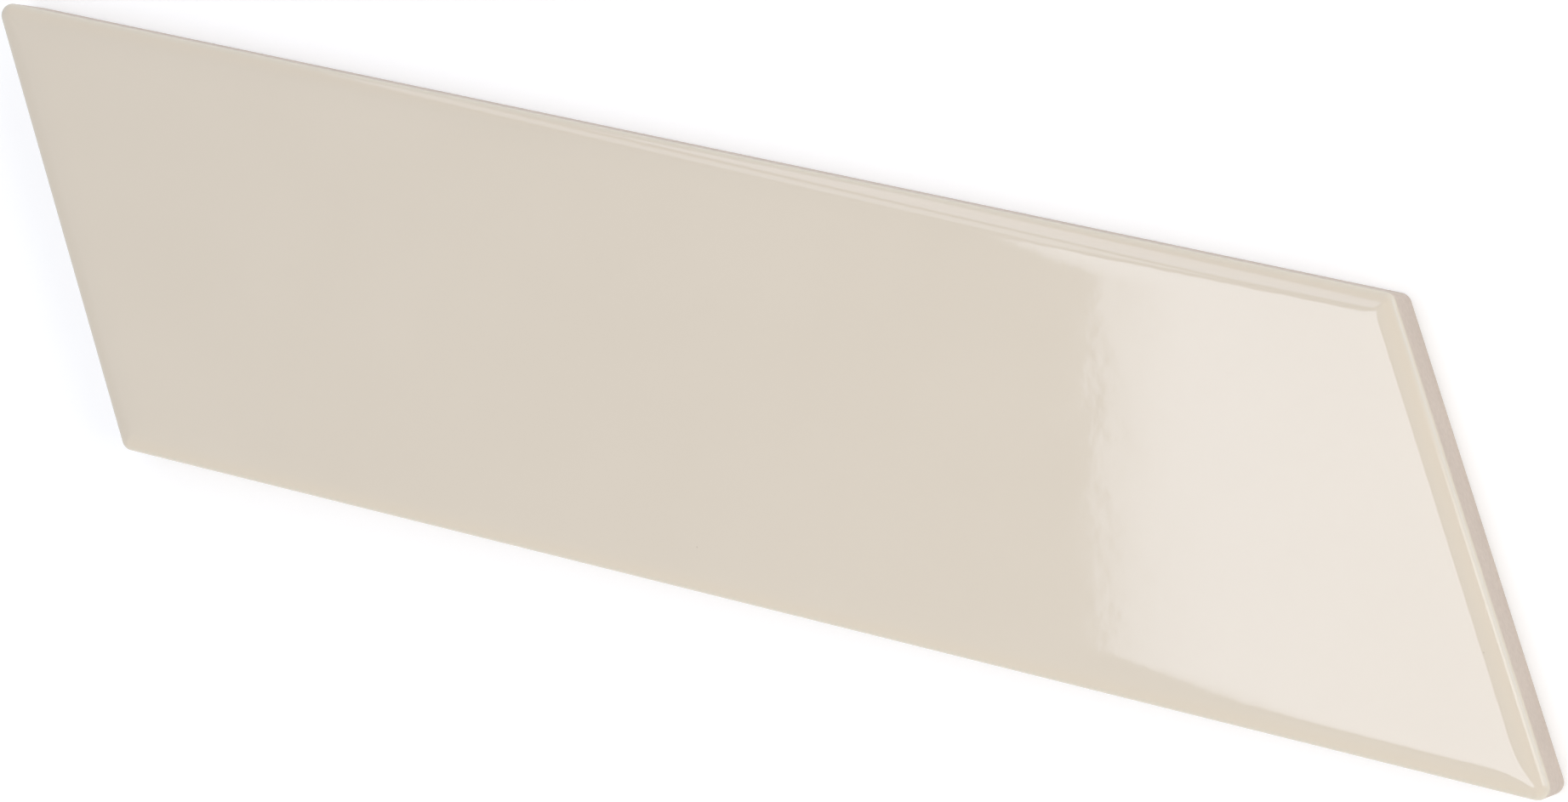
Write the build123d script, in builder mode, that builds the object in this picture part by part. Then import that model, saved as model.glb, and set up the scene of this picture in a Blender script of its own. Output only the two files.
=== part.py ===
from build123d import *
import os
from math import radians, sin, tan

# Chevron wall tile: one pressed and fired piece, lying on its back with the glazed face up.
# The origin is the centre of the back, +X runs along the long sides and +Z out of the glazed face.

# Outline, in millimetres and degrees
side_length = 186.0  # length of a long side
tile_width = 52.0  # distance between the long sides
end_angle = 60.0  # acute corner of the parallelogram
corner_radius = 1.5  # rounding of the four upright corners
thickness = 9.0  # from the back to the flat of the glazed face

# Cushioned rim of the glazed face, from the flat outwards
easing_width = 2.5  # gentle start of the fall
easing_slope = 7.0  # slope where the easing ends
shoulder_width = 2.5  # from the end of the easing to the wall
shoulder_slope = 36.0  # slope where the lip begins
lip_radius = 0.8  # small round between the shoulder and the bare wall

# Back of the tile
back_chamfer = 0.3  # broken edge all round the back
key_width = 4.0  # adhesive grooves along the tile
key_rib = 3.0  # plain back between two grooves
key_margin = 6.0  # least plain border around the grooves
key_depth = 0.6  # depth of a groove
key_draft = 30.0  # slope of a groove's walls from upright

# Radii of the rim, so that easing, shoulder and lip run into each other without a crease
easing_sine = sin(radians(easing_slope))
shoulder_sine = sin(radians(shoulder_slope))
easing_radius = easing_width / easing_sine
lip_width = lip_radius * (1 - shoulder_sine)
shoulder_radius = (shoulder_width - lip_width) / (shoulder_sine - easing_sine)
rim_width = easing_width + shoulder_width

# Parallelogram through the centres of the corner rounds, anticlockwise
lean = 1 / tan(radians(end_angle))
core_half_width = tile_width / 2 - corner_radius
core_half_length = side_length / 2 - corner_radius / sin(radians(end_angle))
core_corners = [
    Vector(-core_half_length + core_half_width * lean, -core_half_width),
    Vector(core_half_length + core_half_width * lean, -core_half_width),
    Vector(core_half_length - core_half_width * lean, core_half_width),
    Vector(-core_half_length - core_half_width * lean, core_half_width),
]
core_sides = list(zip(core_corners, core_corners[1:] + core_corners[:1]))

# Section of the rim: x runs inwards from the wall, y up from the back
with BuildSketch() as rim_section:
    with BuildLine():
        easing = JernArc((rim_width, thickness), (-1, 0), easing_radius, easing_slope)
        shoulder = JernArc(easing @ 1, easing % 1, shoulder_radius, shoulder_slope - easing_slope)
        lip = JernArc(shoulder @ 1, shoulder % 1, lip_radius, 90 - shoulder_slope)
        Polyline(lip @ 1, (0, back_chamfer), (back_chamfer, 0), (rim_width, 0), (rim_width, thickness))
    make_face()

# What the rim takes off a square edge
with BuildSketch() as rim_waste:
    Rectangle(rim_width, thickness, align=Align.MIN)
    add(rim_section.sketch, mode=Mode.SUBTRACT)

# Outermost strip of the rim, as wide as the corner rounds
with BuildSketch() as rim_strip:
    Rectangle(corner_radius, thickness, align=Align.MIN)
    add(rim_section.sketch, mode=Mode.INTERSECT)

with BuildPart() as tile:
    # Core, with the fall of the rim cut along each side so that the cuts mitre at the corners
    with BuildSketch():
        with BuildLine():
            Polyline(*core_corners, close=True)
        make_face()
    extrude(amount=thickness)
    for start, end in core_sides:
        along = (end - start).normalized()
        inward = along.rotate(Axis.Z, 90)
        overrun = along * rim_width / sin(radians(end_angle))
        with BuildSketch(Plane(start - inward * corner_radius - overrun, inward, along)):
            add(rim_waste.sketch)
        extrude(amount=(end - start + overrun * 2).length, mode=Mode.SUBTRACT)

    # Strip along each side, then its turn around the corner before the next side
    for (start, end), (_, next_end) in zip(core_sides, core_sides[1:] + core_sides[:1]):
        along = (end - start).normalized()
        inward = along.rotate(Axis.Z, 90)
        with BuildSketch(Plane(start - inward * corner_radius, inward, along)):
            add(rim_strip.sketch)
        extrude(amount=(end - start).length)
        with BuildSketch(Plane(end - inward * corner_radius, inward, along)):
            add(rim_strip.sketch)
        revolve(axis=Axis(end, (0, 0, 1)), revolution_arc=along.get_angle(next_end - end))

    # Adhesive grooves in the back, staggered with the lean of the ends
    key_pitch = key_width + key_rib
    key_count = int((tile_width - 2 * key_margin + key_rib) // key_pitch)
    key_length = side_length - 2 * key_margin / sin(radians(end_angle))
    with BuildSketch():
        for index in range(key_count):
            across = (index - (key_count - 1) / 2) * key_pitch
            with Locations((-across * lean, across)):
                SlotOverall(key_length, key_width)
    extrude(amount=key_depth, taper=key_draft, mode=Mode.SUBTRACT)

tile.part.label = "tile"
os.makedirs("parts", exist_ok=True)
export_step(tile.part, "parts/tile.step")
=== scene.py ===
import math
import bpy
from mathutils import Matrix, Vector


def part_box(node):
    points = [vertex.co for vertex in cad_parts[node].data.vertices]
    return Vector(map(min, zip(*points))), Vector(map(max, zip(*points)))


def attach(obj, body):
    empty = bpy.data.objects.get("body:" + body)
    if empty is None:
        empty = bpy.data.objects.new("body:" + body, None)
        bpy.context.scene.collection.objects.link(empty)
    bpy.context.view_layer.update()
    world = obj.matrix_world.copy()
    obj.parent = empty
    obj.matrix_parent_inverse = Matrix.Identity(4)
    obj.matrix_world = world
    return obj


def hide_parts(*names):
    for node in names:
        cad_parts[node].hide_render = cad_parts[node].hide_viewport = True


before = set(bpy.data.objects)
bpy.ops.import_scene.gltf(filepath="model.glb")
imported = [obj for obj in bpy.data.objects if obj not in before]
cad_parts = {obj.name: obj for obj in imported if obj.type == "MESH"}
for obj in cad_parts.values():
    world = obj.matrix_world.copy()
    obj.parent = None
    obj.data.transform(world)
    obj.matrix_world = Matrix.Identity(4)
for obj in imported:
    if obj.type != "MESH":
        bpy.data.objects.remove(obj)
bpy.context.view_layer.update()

# Chevron wall tile on its back, glazed face up. Lengths are in metres, angles in degrees.
tileLow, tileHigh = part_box("tile")
print("frame loaded, tile measures", [round(side, 4) for side in tileHigh - tileLow])


# Helpers for the node trees
def addNode(tree, kind, **settings):
    node = tree.nodes.new(kind)
    for name, value in settings.items():
        setattr(node, name, value)
    return node


def feed(tree, node, **values):
    for name, value in values.items():
        socket = node.inputs[name.replace("_", " ")]
        if isinstance(value, bpy.types.NodeSocket):
            tree.links.new(value, socket)
        else:
            socket.default_value = value
    return node


def calc(tree, operation, *values):
    node = addNode(tree, "ShaderNodeMath", operation=operation)
    for socket, value in zip(node.inputs, values):
        if isinstance(value, bpy.types.NodeSocket):
            tree.links.new(value, socket)
        else:
            socket.default_value = value
    return node.outputs[0]


def ramp(tree, value, start, end, low, high, style="LINEAR"):
    node = addNode(tree, "ShaderNodeMapRange", clamp=True, interpolation_type=style)
    feed(tree, node, Value=value, From_Min=start, From_Max=end, To_Min=low, To_Max=high)
    return node.outputs[0]


def blendColours(tree, share, first, second):
    node = addNode(tree, "ShaderNodeMix", data_type="RGBA")
    sockets = (node.inputs[0], node.inputs[6], node.inputs[7])  # factor and the two colours
    for socket, value in zip(sockets, (share, first, second)):
        if isinstance(value, bpy.types.NodeSocket):
            tree.links.new(value, socket)
        else:
            socket.default_value = (*value, 1.0)
    return node.outputs[2]


# Camera, fitted to the four outlines and the bare end wall
cameraView = {
    "eye": (0.203123, 0.043334, 0.506633),
    "aim": (0.008832, -0.001225, 0.008999),  # point of the face in the middle of the picture
    "up": (-0.20959, 0.977771, -0.005914),  # direction that points up in the picture
    "lens": 104.06,
    "sensor": 36.0,
    "clip": (0.01, 50.0),
}


def makeCamera():
    data = bpy.data.cameras.new("pictureCamera")
    data.sensor_fit = "HORIZONTAL"
    data.sensor_width = cameraView["sensor"]
    data.lens = cameraView["lens"]
    data.clip_start, data.clip_end = cameraView["clip"]
    camera = bpy.data.objects.new("pictureCamera", data)
    eye = Vector(cameraView["eye"])
    back = (eye - Vector(cameraView["aim"])).normalized()
    right = Vector(cameraView["up"]).cross(back).normalized()
    turned = Matrix((right, back.cross(right), back)).transposed().to_4x4()
    camera.matrix_world = Matrix.Translation(eye) @ turned
    bpy.context.scene.collection.objects.link(camera)
    bpy.context.scene.camera = camera


makeCamera()
print("camera placed")

# Cream glaze: glossy and faintly mottled, with a few specks.
# It is warmer on the rim and paler on the thin lip.
creamGlaze = {
    "cream": (0.664, 0.594, 0.496),
    "creamDeep": (0.654, 0.584, 0.486),
    "mottleScale": 60.0,
    "mottleDetail": 4.0,
    "mottleRange": (0.3, 0.7),  # part of the noise that the two creams are spread over
    "speck": (0.55, 0.48, 0.39),
    "speckCell": 0.016,  # at most one speck in each cell of this size
    "speckSize": 0.00009,
    "speckBlur": (0.6, 1.4),  # times that size, where a speck starts and ends to fade
    "speckShare": 0.1,  # share of the cells that have one
    "rimTint": (0.664, 0.588, 0.483),
    "rimHeights": (0.0084, 0.0089),  # full tint below the first, none above the second
    "thinEdge": (0.664, 0.606, 0.511),
    "edgeHeights": (0.0079, 0.00827),
    "smooth": 0.043,  # roughness of the glassiest and the dullest spots
    "dull": 0.057,
    "peelSize": 0.002,  # fine skin of the glaze, which only its reflections show
    "peelHeight": 0.0000078,
    "peelDetail": 2.0,
    "refraction": 1.5,
}


def makeGlaze():
    material = bpy.data.materials.new("creamGlaze")
    material.use_nodes = True
    tree = material.node_tree
    place = addNode(tree, "ShaderNodeTexCoord").outputs["Object"]
    height = feed(tree, addNode(tree, "ShaderNodeSeparateXYZ"), Vector=place).outputs["Z"]
    mottle = addNode(tree, "ShaderNodeTexNoise")
    feed(tree, mottle, Vector=place, Scale=creamGlaze["mottleScale"], Detail=creamGlaze["mottleDetail"])
    tone = ramp(tree, mottle.outputs[0], *creamGlaze["mottleRange"], 0.0, 1.0)
    cream = blendColours(tree, tone, creamGlaze["creamDeep"], creamGlaze["cream"])
    cells = addNode(tree, "ShaderNodeTexVoronoi", voronoi_dimensions="2D", feature="F1")
    feed(tree, cells, Vector=place, Scale=1 / creamGlaze["speckCell"])
    speckSize = creamGlaze["speckSize"] / creamGlaze["speckCell"]
    speckFade = [times * speckSize for times in creamGlaze["speckBlur"]]
    near = ramp(tree, cells.outputs["Distance"], *speckFade, 1.0, 0.0)
    cellColour = addNode(tree, "ShaderNodeSeparateColor")
    chance = feed(tree, cellColour, Color=cells.outputs["Color"]).outputs[0]
    speck = calc(tree, "MULTIPLY", near, calc(tree, "LESS_THAN", chance, creamGlaze["speckShare"]))
    cream = blendColours(tree, speck, cream, creamGlaze["speck"])
    inner = ramp(tree, height, *creamGlaze["rimHeights"], 0.0, 1.0, "SMOOTHSTEP")
    thick = ramp(tree, height, *creamGlaze["edgeHeights"], 0.0, 1.0, "SMOOTHSTEP")
    colour = blendColours(tree, inner, creamGlaze["rimTint"], cream)
    colour = blendColours(tree, thick, creamGlaze["thinEdge"], colour)
    roughness = creamGlaze["smooth"], creamGlaze["dull"]
    dullness = ramp(tree, mottle.outputs[0], *creamGlaze["mottleRange"], *roughness)
    peel = addNode(tree, "ShaderNodeTexNoise")
    feed(tree, peel, Vector=place, Scale=1 / creamGlaze["peelSize"], Detail=creamGlaze["peelDetail"])
    bump = addNode(tree, "ShaderNodeBump")
    feed(tree, bump, Height=peel.outputs[0], Distance=creamGlaze["peelHeight"])
    feed(
        tree, tree.nodes["Principled BSDF"], Base_Color=colour, Roughness=dullness,
        IOR=creamGlaze["refraction"], Normal=bump.outputs[0],
    )
    return material


# Bare pressed body on the walls and the back: matt pink-beige with a fine grain
bareBody = {
    "light": (0.64, 0.557, 0.494),
    "dark": (0.562, 0.485, 0.429),
    "toneRange": (0.3, 0.7),  # part of the noise that the two tones are spread over
    "grainScale": 1800.0,
    "grainDetail": 3.0,
    "grainShare": 0.6,  # of the tone
    "grainHeight": 0.00003,
    "cloudScale": 120.0,
    "cloudDetail": 2.0,
    "cloudShare": 0.4,
    "roughness": 0.85,
}


def makeBareBody():
    material = bpy.data.materials.new("bareBody")
    material.use_nodes = True
    tree = material.node_tree
    place = addNode(tree, "ShaderNodeTexCoord").outputs["Object"]
    grain = addNode(tree, "ShaderNodeTexNoise")
    feed(tree, grain, Vector=place, Scale=bareBody["grainScale"], Detail=bareBody["grainDetail"])
    cloud = addNode(tree, "ShaderNodeTexNoise")
    feed(tree, cloud, Vector=place, Scale=bareBody["cloudScale"], Detail=bareBody["cloudDetail"])
    clouds = calc(tree, "MULTIPLY", cloud.outputs[0], bareBody["cloudShare"])
    tone = calc(tree, "MULTIPLY_ADD", grain.outputs[0], bareBody["grainShare"], clouds)
    tone = ramp(tree, tone, *bareBody["toneRange"], 0.0, 1.0)
    colour = blendColours(tree, tone, bareBody["dark"], bareBody["light"])
    bump = addNode(tree, "ShaderNodeBump")
    feed(tree, bump, Height=grain.outputs[0], Distance=bareBody["grainHeight"])
    feed(
        tree, tree.nodes["Principled BSDF"], Base_Color=colour,
        Roughness=bareBody["roughness"], Normal=bump.outputs[0],
    )
    return material


# The tile itself. Its outer sizes come from the frame, the rest follows the section of the solid.
tile = {
    "endAngle": 60.0,
    "cornerRadius": 0.0015,
    "easingWidth": 0.0025,
    "easingSlope": 7.0,
    "shoulderWidth": 0.0025,
    "shoulderSlope": 36.0,
    "lipRadius": 0.0008,
    "backChamfer": 0.0003,
    "glazeLine": 0.00744,  # height where the glaze ends on the lip
    "sharpBlend": 0.003,  # how far the glaze rounds the mitres of the sharp and the wide corners
    "wideBlend": 0.0007,
    "blendStart": 0.0004,  # from the wall, where that begins
    "leastBlend": 0.000001,  # outside that, so that nothing divides by zero
    "rippleHeight": 0.000018,  # slow waves that the glaze fires with
    "rippleSize": 0.007,
    "rippleSeed": 3.0,
    "rippleDetail": 1.0,
    "rippleRoughness": 0.6,
    "rippleStart": 0.0015,  # from the wall, where the waves begin and where they are full
    "rippleFull": 0.006,
    "grooveWidth": 0.004,
    "grooveRib": 0.003,
    "grooveMargin": 0.006,
    "grooveDepth": 0.0006,
    "grooveDraft": 30.0,
    "grooveTurns": 10,  # points on each corner round of a groove
    "meshStep": 0.0006,  # spacing of the mesh on the flat
    "mergeDistance": 0.000002,
    "creaseAngle": 35.0,  # edges that turn more than this stay sharp
}
rimRows = {"chamfer": 1, "wall": 4, "lip": 8, "shoulderOuter": 8, "shoulderInner": 7, "easing": 9}


def tileSizes():
    endAngle = math.radians(tile["endAngle"])
    easing, shoulder = math.radians(tile["easingSlope"]), math.radians(tile["shoulderSlope"])
    radius, lean = tile["cornerRadius"], 1 / math.tan(endAngle)
    width, thickness = tileHigh.y - tileLow.y, tileHigh.z - tileLow.z
    coreReach = tileHigh.x - radius - (width / 2 - radius) * lean
    sideLength = 2 * (coreReach + radius / math.sin(endAngle))
    easingRadius = tile["easingWidth"] / math.sin(easing)
    lipWidth = tile["lipRadius"] * (1 - math.sin(shoulder))
    shoulderRadius = (tile["shoulderWidth"] - lipWidth) / (math.sin(shoulder) - math.sin(easing))
    cornerSine = math.sin(easing) + (tile["shoulderWidth"] - radius) / shoulderRadius
    fall = easingRadius * (1 - math.cos(easing))
    fall += shoulderRadius * (math.cos(easing) - math.cos(shoulder))
    fall += tile["lipRadius"] * math.cos(shoulder)
    pitch = tile["grooveWidth"] + tile["grooveRib"]
    return {
        "Side Length": sideLength,
        "Width": width,
        "End Sine": math.sin(endAngle),
        "End Cosine": math.cos(endAngle),
        "Lean": lean,
        "Corner Radius": radius,
        "Wall Height": thickness - fall,
        "Thickness": thickness,
        "Back Chamfer": tile["backChamfer"],
        "Lip Radius": tile["lipRadius"],
        "Shoulder Radius": shoulderRadius,
        "Easing Radius": easingRadius,
        "Shoulder Slope": shoulder,
        "Corner Slope": math.asin(cornerSine),
        "Easing Slope": easing,
        "Shoulder Width": tile["shoulderWidth"],
        "Rim Width": tile["easingWidth"] + tile["shoulderWidth"],
        "Sharp Blend": tile["sharpBlend"],
        "Wide Blend": tile["wideBlend"],
        "Blend Start": tile["blendStart"],
        "Least Blend": tile["leastBlend"],
        "Glaze Line": tile["glazeLine"],
        "Ripple Height": tile["rippleHeight"],
        "Ripple Size": tile["rippleSize"],
        "Ripple Seed": tile["rippleSeed"],
        "Ripple Detail": tile["rippleDetail"],
        "Ripple Roughness": tile["rippleRoughness"],
        "Ripple Start": tile["rippleStart"],
        "Ripple Full": tile["rippleFull"],
        "Groove Width": tile["grooveWidth"],
        "Groove Length": sideLength - 2 * tile["grooveMargin"] / math.sin(endAngle),
        "Groove Depth": tile["grooveDepth"],
        "Groove Inset": tile["grooveDepth"] * math.tan(math.radians(tile["grooveDraft"])),
        "Groove Pitch": pitch,
        "Groove Count": (width - 2 * tile["grooveMargin"] + tile["grooveRib"]) // pitch,
        "Merge Distance": tile["mergeDistance"],
        "Crease Angle": math.radians(tile["creaseAngle"]),
    }


def tileTree(sizes):
    tree = bpy.data.node_groups.new("tileBody", "GeometryNodeTree")
    for name in sizes:
        tree.interface.new_socket(name, in_out="INPUT", socket_type="NodeSocketFloat")
    for name in ("Glaze", "Bare Body"):
        tree.interface.new_socket(name, in_out="INPUT", socket_type="NodeSocketMaterial")
    tree.interface.new_socket("Geometry", in_out="OUTPUT", socket_type="NodeSocketGeometry")
    size = addNode(tree, "NodeGroupInput").outputs

    def add(*values):
        total = values[0]
        for value in values[1:]:
            total = calc(tree, "ADD", total, value)
        return total

    def less(first, second):
        return calc(tree, "SUBTRACT", first, second)

    def times(*values):
        total = values[0]
        for value in values[1:]:
            total = calc(tree, "MULTIPLY", total, value)
        return total

    def over(first, second):
        return calc(tree, "DIVIDE", first, second)

    def sine(angle):
        return calc(tree, "SINE", angle)

    def cosine(angle):
        return calc(tree, "COSINE", angle)

    def vector(x, y, z):
        return feed(tree, addNode(tree, "ShaderNodeCombineXYZ"), X=x, Y=y, Z=z).outputs[0]

    def shape(kind, out=0, settings=None, **values):
        return feed(tree, addNode(tree, kind, **(settings or {})), **values).outputs[out]

    # Section of the rim, one point for each row from the back to the flat
    spans, rimTotal = {}, 0
    for name, count in rimRows.items():
        spans[name] = (rimTotal, rimTotal + count)
        rimTotal += count
    row = addNode(tree, "GeometryNodeInputIndex").outputs[0]

    def during(name, low, high):
        return ramp(tree, row, *spans[name], low, high)

    def arc(radius, startSlope, slope):
        inset = times(radius, less(sine(startSlope), sine(slope)))
        return inset, times(radius, less(cosine(slope), cosine(startSlope)))

    lipSlope = during("lip", math.pi / 2, size["Shoulder Slope"])
    outerSlope = during("shoulderOuter", size["Shoulder Slope"], size["Corner Slope"])
    innerFall = during("shoulderInner", 0.0, less(size["Corner Slope"], size["Easing Slope"]))
    easingSlope = during("easing", size["Easing Slope"], 0.0)
    lipInset, lipRise = arc(size["Lip Radius"], math.pi / 2, lipSlope)
    shoulderSlope = less(outerSlope, innerFall)
    shoulderInset, shoulderRise = arc(size["Shoulder Radius"], size["Shoulder Slope"], shoulderSlope)
    easingInset, easingRise = arc(size["Easing Radius"], size["Easing Slope"], easingSlope)
    chamferInset = during("chamfer", size["Back Chamfer"], 0.0)
    chamferRise = during("chamfer", 0.0, size["Back Chamfer"])
    wallRise = during("wall", 0.0, less(size["Wall Height"], size["Back Chamfer"]))
    sectionPoint = vector(
        add(chamferInset, lipInset, shoulderInset, easingInset), 0.0,
        add(chamferRise, wallRise, lipRise, shoulderRise, easingRise),
    )
    section = shape("GeometryNodeMeshLine", Count=rimTotal + 1)
    section = shape("GeometryNodeSetPosition", Geometry=section, Position=sectionPoint)

    # Sheet of rows and columns that folds down over the rim, counted from the middle
    halfAlong = sizes["Side Length"] / 2 * sizes["End Sine"] - sizes["Rim Width"]
    halfAcross = sizes["Width"] / 2 - sizes["Rim Width"]
    innerAlong = round(halfAlong / tile["meshStep"])
    innerAcross = round(halfAcross / tile["meshStep"])
    rowsAlong, rowsAcross = rimTotal + innerAlong, rimTotal + innerAcross
    sheet = shape(
        "GeometryNodeMeshGrid", Size_X=2.0 * rowsAlong, Size_Y=2.0 * rowsAcross,
        Vertices_X=2 * rowsAlong + 1, Vertices_Y=2 * rowsAcross + 1,
    )
    position = addNode(tree, "GeometryNodeInputPosition").outputs[0]
    counted = feed(tree, addNode(tree, "ShaderNodeSeparateXYZ"), Vector=position).outputs
    endSign, sideSign = calc(tree, "SIGN", counted["X"]), calc(tree, "SIGN", counted["Y"])
    fromEnd = less(rowsAlong, calc(tree, "ABSOLUTE", counted["X"]))
    fromSide = less(rowsAcross, calc(tree, "ABSOLUTE", counted["Y"]))
    ring = calc(tree, "MINIMUM", fromEnd, fromSide)
    farRow = calc(tree, "MAXIMUM", fromEnd, fromSide)

    def sectionAt(rowField):
        node = addNode(tree, "GeometryNodeSampleIndex", data_type="FLOAT_VECTOR", clamp=True)
        whole = calc(tree, "ROUND", rowField)
        feed(tree, node, Geometry=section, Value=position, Index=whole)
        return feed(tree, addNode(tree, "ShaderNodeSeparateXYZ"), Vector=node.outputs[0]).outputs

    def insetAt(rowField, step):
        beyond = calc(tree, "MAXIMUM", less(rowField, rimTotal), 0.0)
        return add(sectionAt(rowField)["X"], times(beyond, step))

    endReach = less(times(size["Side Length"], 0.5, size["End Sine"]), size["Rim Width"])
    sideReach = less(times(size["Width"], 0.5), size["Rim Width"])
    endInset = insetAt(fromEnd, over(endReach, innerAlong))
    sideInset = insetAt(fromSide, over(sideReach, innerAcross))
    ringPoint = sectionAt(ring)

    # Rows outside the corner centres stand square to their side and turn around the corners
    cornerRow = spans["shoulderOuter"][1]
    endHeld = calc(tree, "MAXIMUM", endInset, size["Corner Radius"])
    sideHeld = calc(tree, "MAXIMUM", sideInset, size["Corner Radius"])
    coreY = times(sideSign, less(times(size["Width"], 0.5), sideHeld))
    coreX = times(endSign, less(times(size["Side Length"], 0.5), over(endHeld, size["End Sine"])))
    coreX = less(coreX, times(coreY, size["Lean"]))
    turn = calc(tree, "ARCCOSINE", times(endSign, sideSign, size["End Cosine"]))
    halfShare = times(0.5, over(less(cornerRow, farRow), less(cornerRow, ring)))
    halfShare = calc(tree, "MAXIMUM", halfShare, 0.0)
    nearSide = calc(tree, "LESS_THAN", fromSide, fromEnd)
    share = add(less(1.0, halfShare), times(nearSide, less(times(2.0, halfShare), 1.0)))
    sideWeight = times(over(sine(times(less(1.0, share), turn)), sine(turn)), sideSign)
    endWeight = times(over(sine(times(share, turn)), sine(turn)), endSign)
    reach = calc(tree, "MAXIMUM", less(size["Corner Radius"], ringPoint["X"]), 0.0)
    placeX = add(coreX, times(reach, endWeight, size["End Sine"]))
    placeY = add(coreY, times(reach, add(sideWeight, times(endWeight, size["End Cosine"]))))

    # The glaze rounds the mitres: near one, the two insets run into each other and the ridge drops
    def heightAt(inset):
        onEasing = over(less(size["Rim Width"], inset), size["Easing Radius"])
        easingSine = calc(tree, "MAXIMUM", onEasing, 0.0)
        easingSine = calc(tree, "MINIMUM", easingSine, sine(size["Easing Slope"]))
        onShoulder = over(less(size["Shoulder Width"], inset), size["Shoulder Radius"])
        onShoulder = calc(tree, "MAXIMUM", onShoulder, 0.0)
        shoulderSine = add(sine(size["Easing Slope"]), onShoulder)
        shoulderSine = calc(tree, "MINIMUM", shoulderSine, sine(size["Shoulder Slope"]))
        easingCosine = cosine(calc(tree, "ARCSINE", easingSine))
        easingFall = times(size["Easing Radius"], less(1.0, easingCosine))
        shoulderCosine = cosine(calc(tree, "ARCSINE", shoulderSine))
        shoulderFall = less(cosine(size["Easing Slope"]), shoulderCosine)
        shoulderFall = times(size["Shoulder Radius"], shoulderFall)
        return less(size["Thickness"], add(easingFall, shoulderFall))

    nearInset = calc(tree, "MINIMUM", endInset, sideInset)
    whichCorner = times(endSign, sideSign)  # -1 at the sharp corners, 1 at the wide ones
    widest = ramp(tree, whichCorner, -1.0, 1.0, size["Sharp Blend"], size["Wide Blend"])
    blendEnd = add(size["Blend Start"], size["Sharp Blend"])
    blendSpan = size["Blend Start"], blendEnd
    blend = ramp(tree, nearInset, *blendSpan, size["Least Blend"], widest, "SMOOTHSTEP")
    apart = calc(tree, "ABSOLUTE", less(endInset, sideInset))
    overlap = over(calc(tree, "MAXIMUM", less(blend, apart), 0.0), blend)
    blended = less(nearInset, times(0.25, blend, overlap, overlap))
    drop = less(heightAt(nearInset), heightAt(blended))

    # Slow waves of the fired glaze, dying out towards the rim
    waves = addNode(tree, "ShaderNodeTexNoise", noise_dimensions="4D")
    wavePlace = vector(over(placeX, size["Ripple Size"]), over(placeY, size["Ripple Size"]), 0.0)
    feed(
        tree, waves, Vector=wavePlace, W=size["Ripple Seed"], Scale=1.0,
        Detail=size["Ripple Detail"], Roughness=size["Ripple Roughness"],
    )
    rippleSpan = size["Ripple Start"], size["Ripple Full"]
    innerShare = ramp(tree, nearInset, *rippleSpan, 0.0, 1.0, "SMOOTHSTEP")
    dip = times(waves.outputs[0], size["Ripple Height"], innerShare)
    folded = shape(
        "GeometryNodeSetPosition", Geometry=sheet,
        Position=vector(placeX, placeY, less(ringPoint["Z"], add(dip, drop))),
    )
    folded = shape("GeometryNodeSetShadeSmooth", Geometry=folded, Shade_Smooth=True)

    # Back plate inside the lowest row, with holes for the adhesive grooves
    faceCount = addNode(tree, "GeometryNodeInputMeshEdgeNeighbors").outputs[0]
    openEdge = calc(tree, "LESS_THAN", faceCount, 1.5)  # edges with one face
    backOutline = shape("GeometryNodeMeshToCurve", Mesh=folded, Selection=openEdge)
    groove = shape(
        "GeometryNodeCurvePrimitiveQuadrilateral",
        Width=size["Groove Length"], Height=size["Groove Width"],
    )
    groove = shape(
        "GeometryNodeFilletCurve", settings={"mode": "POLY"},
        Curve=groove, Count=tile["grooveTurns"],
        Radius=times(size["Groove Width"], 0.5), Limit_Radius=True,
    )
    firstY = times(-0.5, less(size["Groove Count"], 1.0), size["Groove Pitch"])
    leanBack = times(size["Lean"], -1.0)
    grooveLine = shape(
        "GeometryNodeMeshLine", Count=calc(tree, "ROUND", size["Groove Count"]),
        Start_Location=vector(times(firstY, leanBack), firstY, 0.0),
        Offset=vector(times(size["Groove Pitch"], leanBack), size["Groove Pitch"], 0.0),
    )
    grooveOutlines = shape("GeometryNodeInstanceOnPoints", Points=grooveLine, Instance=groove)
    grooveOutlines = shape("GeometryNodeRealizeInstances", Geometry=grooveOutlines)
    outlines = addNode(tree, "GeometryNodeJoinGeometry")
    for part in (backOutline, grooveOutlines):
        tree.links.new(part, outlines.inputs[0])
    plate = shape("GeometryNodeFillCurve", settings={"mode": "NGONS"}, Curve=outlines.outputs[0])
    plate = shape("GeometryNodeFlipFaces", Mesh=plate)

    # One groove: its floor pushed into the body and drawn in towards its middle line
    floor = shape("GeometryNodeFillCurve", settings={"mode": "NGONS"}, Curve=groove)
    floor = shape("GeometryNodeFlipFaces", Mesh=floor)
    pushed = addNode(tree, "GeometryNodeExtrudeMesh", mode="FACES")
    feed(
        tree, pushed, Mesh=floor, Individual=False, Offset_Scale=1.0,
        Offset=vector(0.0, 0.0, size["Groove Depth"]),
    )
    flat = feed(tree, addNode(tree, "ShaderNodeSeparateXYZ"), Vector=position).outputs
    straight = times(0.5, less(size["Groove Length"], size["Groove Width"]))
    middle = calc(tree, "MAXIMUM", flat["X"], times(straight, -1.0))
    middle = calc(tree, "MINIMUM", middle, straight)
    shrink = less(1.0, over(times(2.0, size["Groove Inset"]), size["Groove Width"]))
    drawnX = add(middle, times(shrink, less(flat["X"], middle)))
    drawnIn = vector(drawnX, times(flat["Y"], shrink), flat["Z"])
    pocket = shape(
        "GeometryNodeSetPosition", Geometry=pushed.outputs["Mesh"], Selection=pushed.outputs["Top"],
        Position=drawnIn,
    )
    pockets = shape("GeometryNodeInstanceOnPoints", Points=grooveLine, Instance=pocket)

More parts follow.
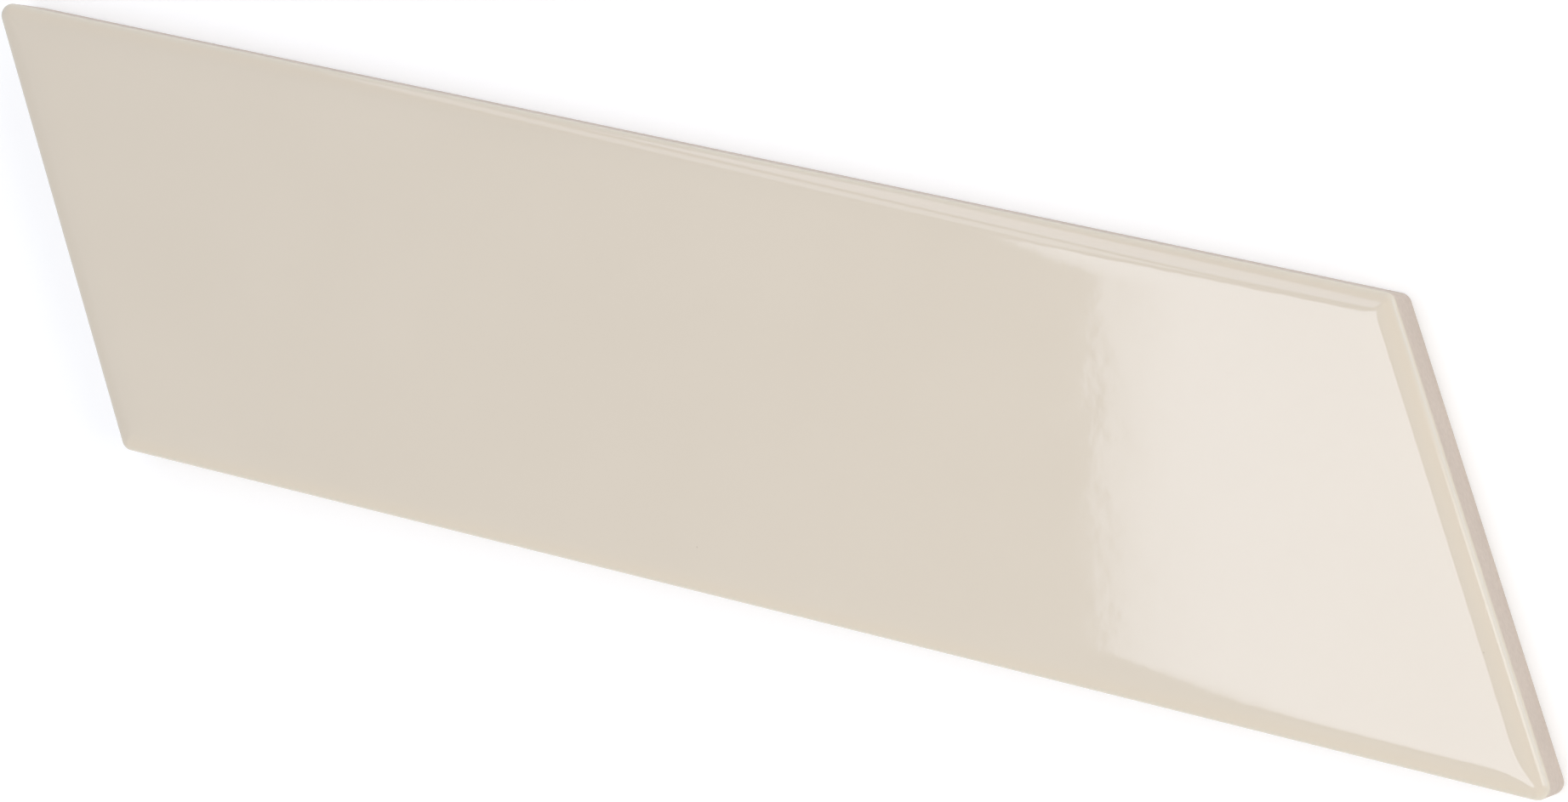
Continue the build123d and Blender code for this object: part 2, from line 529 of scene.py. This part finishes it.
    # One closed skin, with glaze above the glaze line and bare body below
    skin = addNode(tree, "GeometryNodeJoinGeometry")
    for part in (folded, plate, pockets):
        tree.links.new(part, skin.inputs[0])
    whole = shape("GeometryNodeRealizeInstances", Geometry=skin.outputs[0])
    whole = shape("GeometryNodeMergeByDistance", Geometry=whole, Distance=size["Merge Distance"])
    turned = addNode(tree, "GeometryNodeInputMeshEdgeAngle").outputs[0]
    whole = shape(
        "GeometryNodeSetShadeSmooth", settings={"domain": "EDGE"}, Geometry=whole,
        Selection=calc(tree, "GREATER_THAN", turned, size["Crease Angle"]), Shade_Smooth=False,
    )
    whole = shape("GeometryNodeSetMaterial", Geometry=whole, Material=size["Glaze"])
    height = feed(tree, addNode(tree, "ShaderNodeSeparateXYZ"), Vector=position).outputs["Z"]
    whole = shape(
        "GeometryNodeSetMaterial", Geometry=whole, Material=size["Bare Body"],
        Selection=calc(tree, "LESS_THAN", height, size["Glaze Line"]),
    )
    tree.links.new(whole, addNode(tree, "NodeGroupOutput").inputs[0])
    return tree


def makeTile():
    sizes = tileSizes()
    tree = tileTree(sizes)
    given = {**sizes, "Glaze": makeGlaze(), "Bare Body": makeBareBody()}
    draft = bpy.data.objects.new("tileDraft", bpy.data.meshes.new("tileDraft"))
    bpy.context.scene.collection.objects.link(draft)
    modifier = draft.modifiers.new("tileBody", "NODES")
    modifier.node_group = tree
    for item in tree.interface.items_tree:
        if item.in_out == "INPUT":
            modifier[item.identifier] = given[item.name]
    graph = bpy.context.evaluated_depsgraph_get()
    mesh = bpy.data.meshes.new_from_object(draft.evaluated_get(graph))
    mesh.name = "glazedTile"
    bpy.data.objects.remove(draft)
    piece = bpy.data.objects.new("glazedTile", mesh)
    bpy.context.scene.collection.objects.link(piece)
    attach(piece, "root")
    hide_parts("tile")
    return piece


glazedTile = makeTile()
tileMesh = glazedTile.data
print("tile made,", len(tileMesh.vertices), "points,", len(tileMesh.polygons), "faces")

# Plain pale floor and soft studio light
studio = {
    "floorSize": 8.0,
    "floorDrop": 0.0001,
    "floorWhite": 0.72,
    "floorGlow": 0.36,  # near the tile, where the lamps reach, and far from it
    "floorGlowFar": 0.66,
    "floorReach": (0.25, 0.8),  # distances between which it changes
    "skyOverhead": 0.145,
    "skyLow": 1.2,
}
# Sizes are in metres, radiance is the brightness that the glaze mirrors.
# A dimmed corner is rounded, and glows less towards its edge.
lamps = {
    "mainSoftbox": {
        "centre": (-0.0102, -0.0563, 0.6), "turn": 13.5,
        "size": (0.242, 0.405), "radiance": (3.12, 3.35, 3.9),
        "dimCorner": (-1, -1), "cornerRound": 0.075,
        "dimWidth": 0.034, "dimLevel": 0.5, "dimPower": 2.0,
    },
    "wideStrip": {
        "centre": (-0.2987, 0.745, 0.6), "turn": 27.6,
        "size": (0.163, 1.05), "radiance": (1.55, 1.7, 2.15),
        "dimCorner": (1, -1), "cornerRound": 0.12,
        "dimWidth": 0.02, "dimLevel": 0.5, "dimPower": 1.0,
    },
    "narrowStrip": {
        "centre": (-0.4794, 0.7688, 0.6), "turn": 28.6,
        "size": (0.058, 1.41), "radiance": (1.35, 1.45, 1.7),
    },
    "endPanel": {
        "centre": (0.733, 0.370, 0.524), "aim": (0.095, 0.0, 0.008),
        "size": (0.193, 0.178), "radiance": (2.8, 3.2, 3.65),
        "dimCorner": (1, -1), "cornerRound": 0.1,
        "dimWidth": 0.075, "dimLevel": 0.0, "dimPower": 1.0,
    },
    "endCard": {
        "centre": (0.572, 0.334, 0.153), "aim": (0.095, 0.0, 0.008),
        "size": (0.44, 0.36), "radiance": (0.65, 1.45, 2.3),
        "dimCorner": (1, 1), "cornerRound": 0.15,
        "dimWidth": 0.1, "dimLevel": 0.0, "dimPower": 1.0,
        "lighting": False,  # only seen in the glaze
    },
    "endFill": {
        "centre": (0.46, 0.06, 0.33), "aim": (0.09, 0.0, 0.008),
        "size": (0.3, 0.3), "radiance": (2.9, 2.7, 2.4),
        "mirrored": False,  # soft light only, not seen in the glaze
    },
    "frontFill": {
        "centre": (0.02, -0.55, 0.22), "aim": (0.0, 0.0, 0.008),
        "size": (0.6, 0.25), "radiance": (1.85, 1.77, 1.55),
        "mirrored": False,
    },
    "rearFill": {
        "centre": (0.0, 0.55, 0.22), "aim": (0.0, 0.0, 0.008),
        "size": (0.6, 0.25), "radiance": (0.6, 0.53, 0.38),
        "mirrored": False,
    },
}


def behindTheScenes(tree):
    path = addNode(tree, "ShaderNodeLightPath").outputs
    seen = calc(tree, "MAXIMUM", path["Is Camera Ray"], path["Is Glossy Ray"])
    return calc(tree, "MAXIMUM", seen, path["Is Transmission Ray"])


def makeFloor():
    half = studio["floorSize"] / 2
    low = tileLow.z - studio["floorDrop"]
    mesh = bpy.data.meshes.new("studioFloor")
    corners = [(-half, -half, low), (half, -half, low), (half, half, low), (-half, half, low)]
    mesh.from_pydata(corners, [], [(0, 1, 2, 3)])
    floor = bpy.data.objects.new("studioFloor", mesh)
    bpy.context.scene.collection.objects.link(floor)
    material = bpy.data.materials.new("floorWhite")
    material.use_nodes = True
    tree = material.node_tree
    tree.nodes.remove(tree.nodes["Principled BSDF"])
    white = (*[studio["floorWhite"]] * 3, 1.0)
    matt = feed(tree, addNode(tree, "ShaderNodeBsdfDiffuse"), Color=white)
    place = addNode(tree, "ShaderNodeTexCoord").outputs["Object"]
    distance = addNode(tree, "ShaderNodeVectorMath", operation="LENGTH")
    away = feed(tree, distance, Vector=place).outputs["Value"]
    level = ramp(tree, away, *studio["floorReach"], studio["floorGlow"], studio["floorGlowFar"])
    strength = calc(tree, "MULTIPLY", behindTheScenes(tree), level)
    glow = feed(tree, addNode(tree, "ShaderNodeEmission"), Strength=strength)
    both = addNode(tree, "ShaderNodeAddShader")
    tree.links.new(matt.outputs[0], both.inputs[0])
    tree.links.new(glow.outputs[0], both.inputs[1])
    tree.links.new(both.outputs[0], tree.nodes["Material Output"].inputs["Surface"])
    mesh.materials.append(material)


def makeWorld():
    world = bpy.data.worlds.new("studioAir")
    world.use_nodes = True
    tree = world.node_tree
    direction = addNode(tree, "ShaderNodeTexCoord").outputs["Generated"]
    rise = feed(tree, addNode(tree, "ShaderNodeSeparateXYZ"), Vector=direction).outputs["Z"]
    sky = ramp(tree, rise, 0.0, 1.0, studio["skyLow"], studio["skyOverhead"])
    strength = ramp(tree, behindTheScenes(tree), 0.0, 1.0, sky, 1.0)
    feed(tree, tree.nodes["Background"], Color=(1.0, 1.0, 1.0, 1.0), Strength=strength)
    bpy.context.scene.world = world


def dimLampCorner(data, lamp):
    data.use_nodes = True
    tree = data.node_tree
    across = addNode(tree, "ShaderNodeNewGeometry").outputs["Parametric"]
    share = feed(tree, addNode(tree, "ShaderNodeSeparateXYZ"), Vector=across).outputs
    gaps = []
    for axis, length, side in zip("XY", (data.size, data.size_y), lamp["dimCorner"]):
        fromMiddle = calc(tree, "SUBTRACT", share[axis], 0.5)
        fromEdge = calc(tree, "MULTIPLY_ADD", fromMiddle, -side * length, length / 2)
        gap = calc(tree, "MAXIMUM", calc(tree, "SUBTRACT", lamp["cornerRound"], fromEdge), 0.0)
        gaps.append(calc(tree, "POWER", gap, 2.0))
    fromRound = calc(tree, "SQRT", calc(tree, "ADD", *gaps))
    inside = calc(tree, "SUBTRACT", lamp["cornerRound"], fromRound)
    toEdge = ramp(tree, inside, 0.0, lamp["dimWidth"], 1.0, 0.0)
    toEdge = calc(tree, "POWER", toEdge, lamp["dimPower"])
    glow = ramp(tree, toEdge, 0.0, 1.0, 1.0, lamp["dimLevel"])
    lit = calc(tree, "MULTIPLY", glow, calc(tree, "GREATER_THAN", inside, 0.0))
    feed(tree, tree.nodes["Emission"], Strength=lit)


def makeLamps():
    for name, lamp in lamps.items():
        data = bpy.data.lights.new(name, "AREA")
        data.shape = "RECTANGLE"
        data.size, data.size_y = lamp["size"]
        brightest = max(lamp["radiance"])
        data.color = [part / brightest for part in lamp["radiance"]]
        data.energy = brightest * math.pi * data.size * data.size_y
        if "dimCorner" in lamp:
            dimLampCorner(data, lamp)
        item = bpy.data.objects.new(name, data)
        item.location = lamp["centre"]
        if "aim" in lamp:
            towards = Vector(lamp["aim"]) - Vector(lamp["centre"])
            item.rotation_euler = towards.to_track_quat("-Z", "Y").to_euler()
        else:
            item.rotation_euler = (0.0, 0.0, math.radians(lamp["turn"]))
        item.visible_camera = False
        item.visible_glossy = lamp.get("mirrored", True)
        item.visible_diffuse = lamp.get("lighting", True)
        bpy.context.scene.collection.objects.link(item)


makeFloor()
makeWorld()
makeLamps()
bpy.context.scene.view_settings.view_transform = "Standard"
print("floor, air and", len(lamps), "lamps set")
